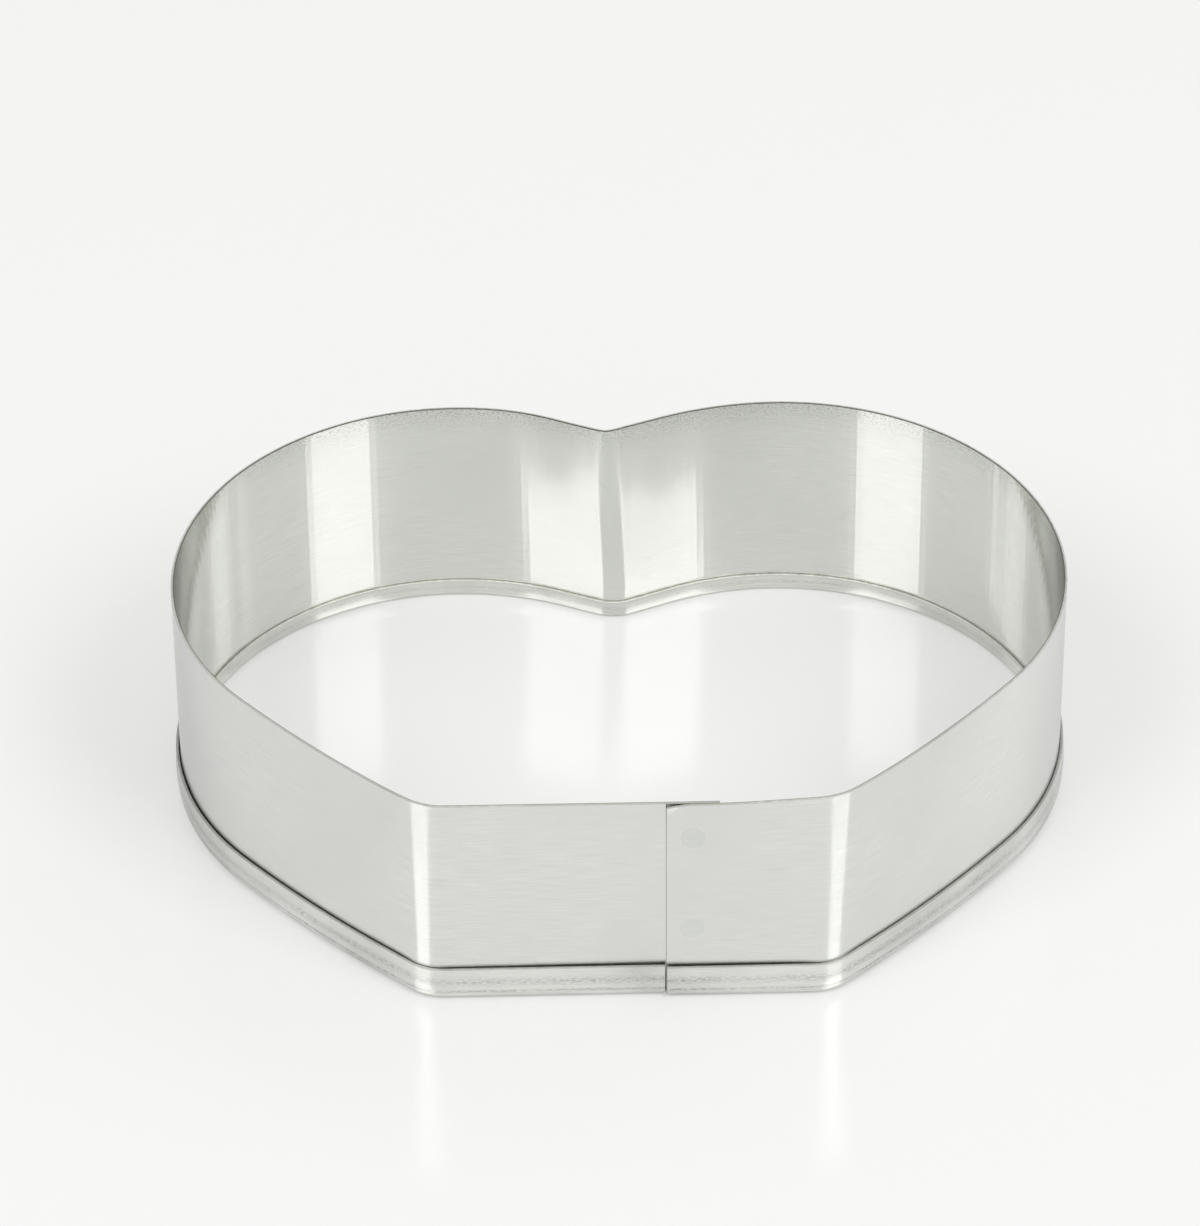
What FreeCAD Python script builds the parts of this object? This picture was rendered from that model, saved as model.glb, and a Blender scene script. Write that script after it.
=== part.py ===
import FreeCAD, Part
import math
import os
import Sketcher

# A cookie cutter: a strip of bright thin steel bent to a blunt heart and closed by a spot-welded lap
# in its flat front, with a J-section edging on the lower edge. The cutting edge is the upper one.
# The part stands on its rim, +Z up, with the flat front towards -Y and the cusp of the heart towards +Y.
# Its origin is on the floor, in the middle of the rim. All sizes are in millimetres.

SIZES = (
    # Outline of the cut, over the outer faces of the band
    ("cut_width", 92.0),
    ("cut_depth", 65.74),
    # How far above the flat front the full circles of the lobes end, at the middle of the sheet
    ("lobe_lift", 7.74),
    # Bends of the outline, at the middle of the sheet
    ("cusp_bend", 2.72),
    ("side_bow", 141.0),
    ("corner_bend", 5.07),
    ("front_flat", 37.0),
    # The strip
    ("band_gauge", 0.3),
    ("overall_height", 25.0),
    # The lap: its outer end lies this far to the right of the middle
    ("seam_offset", 3.7),
    ("lap_length", 5.3),
    ("lap_clearance", 0.02),
    # The edging: heights of its legs above the floor, its nose, and how it sits on the band
    ("rim_gauge", 0.3),
    ("rim_outer_leg", 4.1),
    ("rim_inner_leg", 2.05),
    ("rim_nose", 0.5),
    ("rim_gap", 0.3),
    ("rim_fit", 0.02),
    ("rim_slit", 0.25),
    ("rim_end_round", 0.5),
    ("tongue_clearance", 0.2),
    # The spot welds: below the cutting edge, above the edging, and the dimple that the electrodes leave
    ("upper_weld_inset", 4.3),
    ("lower_weld_inset", 4.8),
    ("weld_diameter", 2.4),
    ("weld_dimple", 0.04),
    ("weld_fit", 0.02),
)

LAYOUT = (
    # The outer end of the lap lies one sheet further out than the inner end
    ("lap_step", "=sizes.band_gauge + sizes.lap_clearance"),
    ("rim_reach", "=sizes.rim_gap + sizes.rim_gauge"),
    ("overall_depth", "=sizes.cut_depth + lap_step + 2 * rim_reach"),
    # Middle of the sheet in the two halves of the front, and the centre of the right-hand lobe
    ("front_outer_y", "=-overall_depth / 2 + rim_reach + sizes.band_gauge / 2"),
    ("front_inner_y", "=front_outer_y + lap_step"),
    ("lobe_radius", "=(sizes.cut_depth - sizes.band_gauge - sizes.lobe_lift) / 2"),
    ("lobe_x", "=(sizes.cut_width - sizes.band_gauge) / 2 - lobe_radius"),
    ("lobe_y", "=front_inner_y + sizes.lobe_lift + lobe_radius"),
    ("corner_x", "=sizes.front_flat / 2"),
    # The band's lower edge stands on the web of the edging
    ("band_bottom", "=sizes.rim_gauge + sizes.rim_fit"),
    ("tongue_bottom", "=sizes.rim_inner_leg + sizes.tongue_clearance"),
    # Ends of the edging, each side of the seam
    ("rim_start_x", "=sizes.seam_offset - sizes.rim_slit / 2"),
    ("rim_end_x", "=sizes.seam_offset + sizes.rim_slit / 2"),
    # Faces of the edging's channel and of its legs, where it starts, on the inner half of the front
    ("channel_back_y", "=front_inner_y + sizes.band_gauge / 2 + sizes.rim_fit"),
    ("channel_front_y", "=front_inner_y - sizes.band_gauge / 2 - sizes.rim_gap"),
    ("rim_back_y", "=channel_back_y + sizes.rim_gauge"),
    ("rim_front_y", "=channel_front_y - sizes.rim_gauge"),
    # The welds sit in the middle of the lap and fill both layers
    ("weld_x", "=sizes.seam_offset + sizes.lap_length / 2"),
    ("upper_weld_z", "=sizes.overall_height - sizes.upper_weld_inset"),
    ("lower_weld_z", "=sizes.rim_outer_leg + sizes.lower_weld_inset"),
    ("lap_face_y", "=front_outer_y - sizes.band_gauge / 2"),
    ("lap_back_y", "=front_inner_y + sizes.band_gauge / 2"),
    ("lap_thickness", "=lap_back_y - lap_face_y"),
    ("weld_radius", "=sizes.weld_diameter / 2 - sizes.weld_fit"),
)

UP = FreeCAD.Vector(0, 0, 1)
START, END, CENTRE = 1, 2, 3
ORIGIN = (-1, 1)

doc = FreeCAD.newDocument("cookie_cutter")


def add_sheet(name, rows):
    """Add a sheet with one named cell per row."""
    sheet = doc.addObject("Spreadsheet::Sheet", name)
    for number, (alias, content) in enumerate(rows, start=1):
        sheet.set(f"A{number}", alias)
        sheet.set(f"B{number}", str(content))
        sheet.setAlias(f"B{number}", alias)
    doc.recompute()
    return sheet


sizes = add_sheet("sizes", SIZES)
layout = add_sheet("layout", LAYOUT)


def origin_plane(body, role):
    """One of the body's own origin planes."""
    return next(plane for plane in body.Origin.OriginFeatures if plane.Role == role)


def add_sketch(body, name, role, offset=None):
    """Add a sketch on one of the body's origin planes, moved along the plane's normal by a formula."""
    sketch = body.newObject("Sketcher::SketchObject", name)
    sketch.AttachmentSupport = [(origin_plane(body, role), "")]
    sketch.MapMode = "FlatFace"
    if offset:
        sketch.setExpression("AttachmentOffset.Base.z", offset)
    return sketch


def fix(sketch, name, formula, value, kind, *points):
    """Add a named dimension to a sketch and bind it to a formula."""
    index = sketch.addConstraint(Sketcher.Constraint(kind, *points, value))
    sketch.renameConstraint(index, name)
    sketch.setExpression(f"Constraints.{name}", formula)


def join(sketch, kind, *pairs):
    """Join ends of lines and arcs, given as pairs of (element, end)."""
    for first, second in pairs:
        sketch.addConstraint(Sketcher.Constraint(kind, *first, *second))


def line(first, last):
    """Straight element of a sketch between two (x, y) points."""
    return Part.LineSegment(FreeCAD.Vector(*first, 0), FreeCAD.Vector(*last, 0))


def bend(centre, first, last):
    """Arc of a sketch, counter-clockwise about centre from the point first to the direction of last."""
    radius = math.dist(centre, first)
    angles = [math.atan2(point[1] - centre[1], point[0] - centre[0]) for point in (first, last)]
    return Part.ArcOfCircle(Part.Circle(FreeCAD.Vector(*centre, 0), UP, radius), *angles)


def beyond(start, through, distance):
    """Point at a distance from start, in the direction of another point."""
    share = distance / math.dist(start, through)
    return tuple(a + (b - a) * share for a, b in zip(start, through))


def side_points(front_y):
    """Centres of the right-hand corner bend and bowed side, and the points where the side ends.

    The side is an arc that touches the corner bend and the lobe from outside.
    """
    lobe = (layout.lobe_x, layout.lobe_y)
    corner = (layout.corner_x, front_y + sizes.corner_bend)
    to_lobe = sizes.side_bow - layout.lobe_radius
    to_corner = sizes.side_bow - sizes.corner_bend
    span = math.dist(lobe, corner)
    along = (to_lobe**2 - to_corner**2 + span**2) / (2 * span)
    across = math.sqrt(to_lobe**2 - along**2)
    direction = ((corner[0] - lobe[0]) / span, (corner[1] - lobe[1]) / span)
    side = (
        lobe[0] + along * direction[0] + across * direction[1],
        lobe[1] + along * direction[1] - across * direction[0],
    )
    return corner, side, beyond(side, corner, sizes.side_bow), beyond(side, lobe, sizes.side_bow)


def mirrored(*points):
    """The same points on the left-hand side."""
    return [(-x, y) for x, y in points]


def add_outline(body, start_formula, start_x, end_formula, end_x):
    """Sketch the middle line of the sheet, clockwise from its inner end round to its outer end."""
    lobe = (layout.lobe_x, layout.lobe_y)
    cusp_drop = math.sqrt((layout.lobe_radius + sizes.cusp_bend) ** 2 - layout.lobe_x**2)
    cusp = (0, layout.lobe_y + cusp_drop)
    cusp_end = beyond(cusp, lobe, sizes.cusp_bend)
    inner_y, outer_y = layout.front_inner_y, layout.front_outer_y
    corner, side, side_low, side_high = side_points(outer_y)
    far_corner, far_side, far_low, far_high = mirrored(*side_points(inner_y))
    far_lobe, far_cusp_end = mirrored(lobe, cusp_end)

    sketch = add_sketch(body, "outline", "XY_Plane")
    sketch.addGeometry(
        [
            line((start_x, inner_y), (-layout.corner_x, inner_y)),
            bend(far_corner, far_low, (-layout.corner_x, inner_y)),
            bend(far_side, far_high, far_low),
            bend(far_lobe, far_cusp_end, far_high),
            bend(cusp, far_cusp_end, cusp_end),
            bend(lobe, side_high, cusp_end),
            bend(side, side_low, side_high),
            bend(corner, (layout.corner_x, outer_y), side_low),
            line((layout.corner_x, outer_y), (end_x, outer_y)),
        ]
    )
    front_in, left_corner, left_side, left_lobe, cusp_arc = range(5)
    right_lobe, right_side, right_corner, front_out = range(5, 9)
    join(
        sketch,
        "Tangent",
        ((front_in, END), (left_corner, END)),
        ((left_corner, START), (left_side, END)),
        ((left_side, START), (left_lobe, END)),
        ((left_lobe, START), (cusp_arc, START)),
        ((cusp_arc, END), (right_lobe, END)),
        ((right_lobe, START), (right_side, END)),
        ((right_side, START), (right_corner, END)),
        ((right_corner, START), (front_out, START)),
    )
    for straight in (front_in, front_out):
        sketch.addConstraint(Sketcher.Constraint("Horizontal", straight))
    radii = (
        (sizes, "corner_bend", left_corner, right_corner),
        (sizes, "side_bow", left_side, right_side),
        (layout, "lobe_radius", left_lobe, right_lobe),
        (sizes, "cusp_bend", cusp_arc),
    )
    for sheet, alias, *arcs in radii:
        for arc in arcs:
            fix(sketch, f"{alias}_{arc}", f"{sheet.Name}.{alias}", getattr(sheet, alias), "Radius", arc)
    fix(sketch, "lobe_right", "layout.lobe_x", lobe[0], "DistanceX", *ORIGIN, right_lobe, CENTRE)
    fix(sketch, "lobe_left", "layout.lobe_x", lobe[0], "DistanceX", left_lobe, CENTRE, *ORIGIN)
    fix(sketch, "lobe_right_y", "layout.lobe_y", lobe[1], "DistanceY", *ORIGIN, right_lobe, CENTRE)
    fix(sketch, "lobe_left_y", "layout.lobe_y", lobe[1], "DistanceY", *ORIGIN, left_lobe, CENTRE)
    fix(sketch, "corner_left", "layout.corner_x", layout.corner_x, "DistanceX", front_in, END, *ORIGIN)
    fix(sketch, "corner_right", "layout.corner_x", layout.corner_x, "DistanceX", *ORIGIN, front_out, START)
    fix(sketch, "front_inner", "-layout.front_inner_y", -inner_y, "DistanceY", front_in, START, *ORIGIN)
    fix(sketch, "front_outer", "-layout.front_outer_y", -outer_y, "DistanceY", front_out, END, *ORIGIN)
    fix(sketch, "inner_end", start_formula, start_x, "DistanceX", *ORIGIN, front_in, START)
    fix(sketch, "outer_end", end_formula, end_x, "DistanceX", *ORIGIN, front_out, END)
    return sketch


def add_strip_section(body, name, bottom_formula, bottom):
    """Sketch the strip's cross-section at the seam, from a lower edge up to the cutting edge."""
    front = layout.front_inner_y - sizes.band_gauge / 2
    back = layout.front_inner_y + sizes.band_gauge / 2
    top = sizes.overall_height
    corners = [(front, bottom), (back, bottom), (back, top), (front, top)]
    sketch = add_sketch(body, name, "YZ_Plane", "sizes.seam_offset")
    sketch.addGeometry([line(corners[i], corners[(i + 1) % 4]) for i in range(4)])
    join(sketch, "Coincident", *(((i, END), ((i + 1) % 4, START)) for i in range(4)))
    for flat, upright in ((0, 1), (2, 3)):
        sketch.addConstraint(Sketcher.Constraint("Horizontal", flat))
        sketch.addConstraint(Sketcher.Constraint("Vertical", upright))
    fix(sketch, "gauge", "sizes.band_gauge", sizes.band_gauge, "DistanceX", 0, START, 0, END)
    fix(sketch, "back", "-layout.lap_back_y", -back, "DistanceX", 0, END, *ORIGIN)
    fix(sketch, "bottom", bottom_formula, bottom, "DistanceY", *ORIGIN, 0, START)
    fix(sketch, "top", "sizes.overall_height", top, "DistanceY", *ORIGIN, 2, START)
    return sketch


def sweep(body, name, section, path):
    """Carry an upright section along the outline."""
    pipe = body.newObject("PartDesign::AdditivePipe", name)
    pipe.Profile = section
    pipe.Spine = path


def make_cutting_band():
    """The bent strip, its tongue behind the outer end of the lap, and the two holes that the welds fill."""
    body = doc.addObject("PartDesign::Body", "cutting_band")
    seam = sizes.seam_offset
    path = add_outline(body, "sizes.seam_offset", seam, "sizes.seam_offset", seam)
    section = add_strip_section(body, "strip_section", "layout.band_bottom", layout.band_bottom)
    sweep(body, "strip", section, path)

    tongue_section = add_strip_section(body, "tongue_section", "layout.tongue_bottom", layout.tongue_bottom)
    tongue = body.newObject("PartDesign::Pad", "tongue")
    tongue.Profile = tongue_section
    tongue.setExpression("Length", "sizes.lap_length")

    seats = add_sketch(body, "weld_seats", "XZ_Plane", "-layout.lap_face_y")
    for number, alias in enumerate(("upper_weld_z", "lower_weld_z")):
        height = getattr(layout, alias)
        centre = FreeCAD.Vector(layout.weld_x, height, 0)
        seats.addGeometry(Part.Circle(centre, UP, sizes.weld_diameter / 2))
        fix(seats, f"{alias}_x", "layout.weld_x", layout.weld_x, "DistanceX", *ORIGIN, number, CENTRE)
        fix(seats, alias, f"layout.{alias}", height, "DistanceY", *ORIGIN, number, CENTRE)
        fix(seats, f"{alias}_bore", "sizes.weld_diameter", sizes.weld_diameter, "Diameter", number)
    holes = body.newObject("PartDesign::Pocket", "weld_holes")
    holes.Profile = seats
    holes.setExpression("Length", "layout.lap_thickness")
    return body


def add_end_corner(sketch, alias, inward):
    """Sketch what comes off the lower corner of one end of the edging, which runs from there to -X or +X."""
    end_x, radius = getattr(layout, alias), sizes.rim_end_round
    corner, foot, tip = (end_x, 0), (end_x + inward * radius, 0), (end_x, radius)
    turn, foot_end, tip_end = ((foot, tip), START, END) if inward < 0 else ((tip, foot), END, START)
    flat = sketch.GeometryCount
    upright, arc = flat + 1, flat + 2
    sketch.addGeometry([line(foot, corner), line(corner, tip), bend((foot[0], radius), *turn)])
    join(sketch, "Coincident", ((flat, END), (upright, START)))
    join(sketch, "Tangent", ((flat, START), (arc, foot_end)), ((upright, END), (arc, tip_end)))
    sketch.addConstraint(Sketcher.Constraint("PointOnObject", flat, START, -1))
    sketch.addConstraint(Sketcher.Constraint("Horizontal", flat))
    sketch.addConstraint(Sketcher.Constraint("Vertical", upright))
    fix(sketch, f"{alias}_round", "sizes.rim_end_round", radius, "Radius", arc)
    fix(sketch, alias, f"layout.{alias}", end_x, "DistanceX", *ORIGIN, flat, END)


def make_rim_edging():
    """The J-section strip on the band's lower edge, from one side of the seam round to the other."""
    body = doc.addObject("PartDesign::Body", "rim_edging")
    path = add_outline(body, "layout.rim_start_x", layout.rim_start_x, "layout.rim_end_x", layout.rim_end_x)

    back, front = layout.rim_back_y, layout.rim_front_y
    channel_back, channel_front = layout.channel_back_y, layout.channel_front_y
    nose, gauge = sizes.rim_nose, sizes.rim_gauge
    inner_top, outer_top = sizes.rim_inner_leg, sizes.rim_outer_leg
    section = add_sketch(body, "edging_section", "YZ_Plane", "layout.rim_start_x")
    section.addGeometry(
        [
            line((front, outer_top), (front, nose)),
            bend((front + nose, nose), (front, nose), (front + nose, 0)),
            line((front + nose, 0), (back - nose, 0)),
            bend((back - nose, nose), (back - nose, 0), (back, nose)),
            line((back, nose), (back, inner_top)),
            line((back, inner_top), (channel_back, inner_top)),
            line((channel_back, inner_top), (channel_back, gauge)),
            line((channel_back, gauge), (channel_front, gauge)),
            line((channel_front, gauge), (channel_front, outer_top)),
            line((channel_front, outer_top), (front, outer_top)),
        ]
    )
    face, front_nose, sole, back_nose, back_face, back_top, back_wall, web, wall, top = range(10)
    rounded = ((face, front_nose), (front_nose, sole), (sole, back_nose), (back_nose, back_face))
    inner_leg = ((back_face, back_top), (back_top, back_wall), (back_wall, web))
    outer_leg = ((web, wall), (wall, top), (top, face))
    join(section, "Tangent", *(((first, END), (then, START)) for first, then in rounded))
    join(section, "Coincident", *(((first, END), (then, START)) for first, then in inner_leg + outer_leg))
    for upright in (face, back_face, back_wall, wall):
        section.addConstraint(Sketcher.Constraint("Vertical", upright))
    for flat in (sole, web, back_top, top):
        section.addConstraint(Sketcher.Constraint("Horizontal", flat))
    for arc in (front_nose, back_nose):
        fix(section, f"nose_{arc}", "sizes.rim_nose", nose, "Radius", arc)
    section.addConstraint(Sketcher.Constraint("PointOnObject", sole, START, -1))
    fix(section, "web_rise", "sizes.rim_gauge", gauge, "DistanceY", sole, START, web, START)
    fix(section, "face", "-layout.rim_front_y", -front, "DistanceX", face, START, *ORIGIN)
    fix(section, "back", "-layout.rim_back_y", -back, "DistanceX", back_face, END, *ORIGIN)
    fix(section, "far_wall", "-layout.channel_back_y", -channel_back, "DistanceX", back_wall, START, *ORIGIN)
    fix(section, "near_wall", "-layout.channel_front_y", -channel_front, "DistanceX", wall, END, *ORIGIN)
    fix(section, "inner_leg", "sizes.rim_inner_leg", inner_top, "DistanceY", *ORIGIN, back_face, END)
    fix(section, "outer_leg", "sizes.rim_outer_leg", outer_top, "DistanceY", *ORIGIN, face, START)
    sweep(body, "edging", section, path)

    corners = add_sketch(body, "end_corners", "XZ_Plane", "layout.lap_step - layout.rim_front_y")
    add_end_corner(corners, "rim_start_x", -1)
    add_end_corner(corners, "rim_end_x", 1)
    rounds = body.newObject("PartDesign::Pocket", "end_rounds")
    rounds.Profile = corners
    rounds.setExpression("Length", "layout.rim_back_y - layout.rim_front_y + layout.lap_step")
    return body


def make_spot_weld(name, height_alias):
    """One weld nugget: a disc through both layers of the lap, dimpled by the electrodes on each face."""
    body = doc.addObject("PartDesign::Body", name)
    face, back = layout.lap_face_y, layout.lap_back_y
    height, radius, dimple = getattr(layout, height_alias), layout.weld_radius, sizes.weld_dimple
    sphere = (radius**2 + dimple**2) / (2 * dimple)
    section = add_sketch(body, "nugget_section", "YZ_Plane", "layout.weld_x")
    section.addGeometry(
        [
            line((back - dimple, height), (face + dimple, height)),
            bend((face + dimple - sphere, height), (face + dimple, height), (face, height + radius)),
            line((face, height + radius), (back, height + radius)),
            bend((back - dimple + sphere, height), (back, height + radius), (back - dimple, height)),
        ]
    )
    axis, face_dimple, edge, back_dimple = range(4)
    join(
        section,
        "Coincident",
        ((axis, END), (face_dimple, START)),
        ((face_dimple, END), (edge, START)),
        ((edge, END), (back_dimple, START)),
        ((back_dimple, END), (axis, START)),
    )
    for flat in (axis, edge):
        section.addConstraint(Sketcher.Constraint("Horizontal", flat))
    for arc in (face_dimple, back_dimple):
        section.addConstraint(Sketcher.Constraint("PointOnObject", arc, CENTRE, axis))
    fix(section, "height", f"layout.{height_alias}", height, "DistanceY", *ORIGIN, axis, START)
    fix(section, "radius", "layout.weld_radius", radius, "DistanceY", axis, END, edge, START)
    fix(section, "face", "-layout.lap_face_y", -face, "DistanceX", edge, START, *ORIGIN)
    fix(section, "back", "-layout.lap_back_y", -back, "DistanceX", edge, END, *ORIGIN)
    fix(section, "face_dimple", "sizes.weld_dimple", dimple, "DistanceX", edge, START, axis, END)
    fix(section, "back_dimple", "sizes.weld_dimple", dimple, "DistanceX", axis, START, edge, END)
    nugget = body.newObject("PartDesign::Revolution", "nugget")
    nugget.Profile = section
    nugget.ReferenceAxis = (section, ["Edge1"])
    nugget.Angle = 360
    return body


def check(bodies):
    """Stop if any object failed to build or any piece is not one valid solid."""
    for item in doc.Objects:
        if {"Invalid", "Error"} & set(item.State):
            raise RuntimeError(f"{item.Name} did not build: {item.State}")
    for body in bodies:
        shape = body.Shape
        if shape.isNull() or not shape.isValid() or len(shape.Solids) != 1:
            raise RuntimeError(f"{body.Label} is not one valid solid")
        print(f"{body.Label}: {shape.Volume:.3f} mm3, {len(shape.Faces)} faces, {shape.BoundBox}")


pieces = [
    make_cutting_band(),
    make_rim_edging(),
    make_spot_weld("upper_spot_weld", "upper_weld_z"),
    make_spot_weld("lower_spot_weld", "lower_weld_z"),
]
doc.recompute()
check(pieces)

os.makedirs("parts", exist_ok=True)
for piece in pieces:
    piece.Shape.exportStep(f"parts/{piece.Label}.step")
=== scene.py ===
"""Cookie cutter: bent sheet, edging and spot welds in bright steel, on a pale glossy floor."""

import logging
import math
from dataclasses import dataclass, field
from enum import Enum
from functools import cache

import bmesh
import bpy
from bpy.types import Material, Mesh, MeshVertex, Node, NodeSocket, NodeTree, Object
from mathutils import Euler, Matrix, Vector


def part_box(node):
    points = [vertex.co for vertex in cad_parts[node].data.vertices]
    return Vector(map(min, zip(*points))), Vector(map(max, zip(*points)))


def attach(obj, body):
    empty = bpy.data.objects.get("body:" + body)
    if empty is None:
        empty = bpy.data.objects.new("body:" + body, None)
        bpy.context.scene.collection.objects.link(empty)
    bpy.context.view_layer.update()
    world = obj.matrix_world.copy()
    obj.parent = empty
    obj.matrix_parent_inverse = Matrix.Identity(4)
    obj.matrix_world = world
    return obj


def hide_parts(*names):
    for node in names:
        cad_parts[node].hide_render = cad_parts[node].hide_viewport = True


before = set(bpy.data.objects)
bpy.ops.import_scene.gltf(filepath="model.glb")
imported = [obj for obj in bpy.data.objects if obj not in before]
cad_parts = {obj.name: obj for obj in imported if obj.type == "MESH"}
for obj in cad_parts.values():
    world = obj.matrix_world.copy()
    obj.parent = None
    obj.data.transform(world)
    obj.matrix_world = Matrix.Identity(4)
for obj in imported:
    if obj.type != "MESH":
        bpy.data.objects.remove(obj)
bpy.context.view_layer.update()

MM = 0.001
TOUCHING = 1e-7
BURR_WIDTH = 0.08 * MM
BURR_ANGLE = math.radians(60.0)
SMOOTH_ANGLE = math.radians(35.0)
UPRIGHT = (0.0, 0.0, 1.0)
ALONG = "along"
INSIDE = "inside"
LOG = logging.getLogger("cookie_cutter")
Colour = tuple[float, float, float]


class Slot(Enum):
    """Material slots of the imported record."""

    BRIGHT = "bright_steel"
    ROLLED = "rolled_steel"
    WELD = "weld_steel"


@dataclass(frozen=True)
class Station:
    """A place on a bent strip.

    Attributes:
        along: Length along the strip.
        nearest: Point at the middle of the sheet, seen from above.
        outward: Direction away from the inside of the cutter.
    """

    along: float
    nearest: Vector
    outward: Vector


@dataclass(frozen=True)
class Run:
    """A straight stretch of the outline, at the middle of the sheet.

    Attributes:
        start: First point, seen from above.
        end: Last point.
    """

    start: Vector
    end: Vector

    @property
    def length(self) -> float:
        """Length of the stretch."""
        return (self.end - self.start).length

    def locate(self, point: Vector) -> Station:
        """Find the place on the stretch that is nearest to a point.

        Args:
            point: Point seen from above.

        Returns:
            The place, with its length from the start of the stretch.
        """
        direction = (self.end - self.start).normalized()
        along = min(max((point - self.start).dot(direction), 0.0), self.length)
        return Station(along, self.start + direction * along, Vector((-direction.y, direction.x)))


@dataclass(frozen=True)
class Bend:
    """A round stretch of the outline, at the middle of the sheet.

    Attributes:
        centre: Point that the strip turns about, seen from above.
        radius: Radius of the bend.
        start: Direction of its first point from the centre, in radians.
        turn: Angle that the strip turns by, anticlockwise if positive.
    """

    centre: Vector
    radius: float
    start: float
    turn: float

    @property
    def length(self) -> float:
        """Length of the stretch."""
        return self.radius * abs(self.turn)

    @property
    def steps(self) -> int:
        """Number of facets, fine enough for clean reflections."""
        return max(math.ceil(abs(self.turn) / math.radians(1.5)), math.ceil(self.length / (0.9 * MM)))

    def locate(self, point: Vector) -> Station:
        """Find the place on the stretch that is nearest to a point.

        Args:
            point: Point seen from above.

        Returns:
            The place, with its length from the start of the stretch.
        """
        offset = point - self.centre
        sense = math.copysign(1.0, self.turn)
        span = abs(self.turn)
        past = (math.atan2(offset.y, offset.x) - self.start) * sense
        past = (past - span / 2 + math.pi) % (2 * math.pi) - math.pi + span / 2
        past = min(max(past, 0.0), span)
        angle = self.start + sense * past
        direction = Vector((math.cos(angle), math.sin(angle)))
        return Station(self.radius * past, self.centre + self.radius * direction, -sense * direction)


@dataclass(frozen=True)
class Strip:
    """A strip bent to the outline.

    Attributes:
        stretches: Its stretches in order, clockwise seen from above.
        end_weight: How much the distance past a stretch's end counts against it.
    """

    stretches: tuple[Run | Bend, ...]
    end_weight: float = 20.0

    def locate(self, point: Vector) -> Station:
        """Find the place on the strip nearest to a point, beside a stretch rather than past its end.

        Args:
            point: Point seen from above.

        Returns:
            The place, with its length from the start of the strip.
        """
        before, found = 0.0, []
        for stretch in self.stretches:
            place = stretch.locate(point)
            offset = point - place.nearest
            past = abs(offset.cross(place.outward))
            found.append((offset.length + self.end_weight * past, before + place.along, place))
            before += stretch.length
        _, along, place = min(found, key=lambda item: item[0])
        return Station(along, place.nearest, place.outward)

    def blended(self, values: list[float], along: float, reach: float) -> float:
        """Blend values of the stretches where one stretch passes into the next.

        Args:
            values: A value for each stretch.
            along: Length along the strip.
            reach: How far the blend reaches to each side.

        Returns:
            The mean of the values over the reach.
        """
        start, total, weight = 0.0, 0.0, 0.0
        for stretch, value in zip(self.stretches, values):
            end = start + stretch.length
            share = max(min(end, along + reach) - max(start, along - reach), 0.0)
            total, weight, start = total + share * value, weight + share, end
        return total / weight


def heading(start: Vector, end: Vector) -> float:
    """Direction from one point to another, in radians."""
    return math.atan2(end.y - start.y, end.x - start.x)


def mirrored(point: Vector) -> Vector:
    """The same point on the other side of the outline."""
    return Vector((-point.x, point.y))


def bell(distance: float, width: float) -> float:
    """A smooth bump, 1 in its middle, most of which fades over its width."""
    return math.exp(-((distance / width) ** 2))


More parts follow.
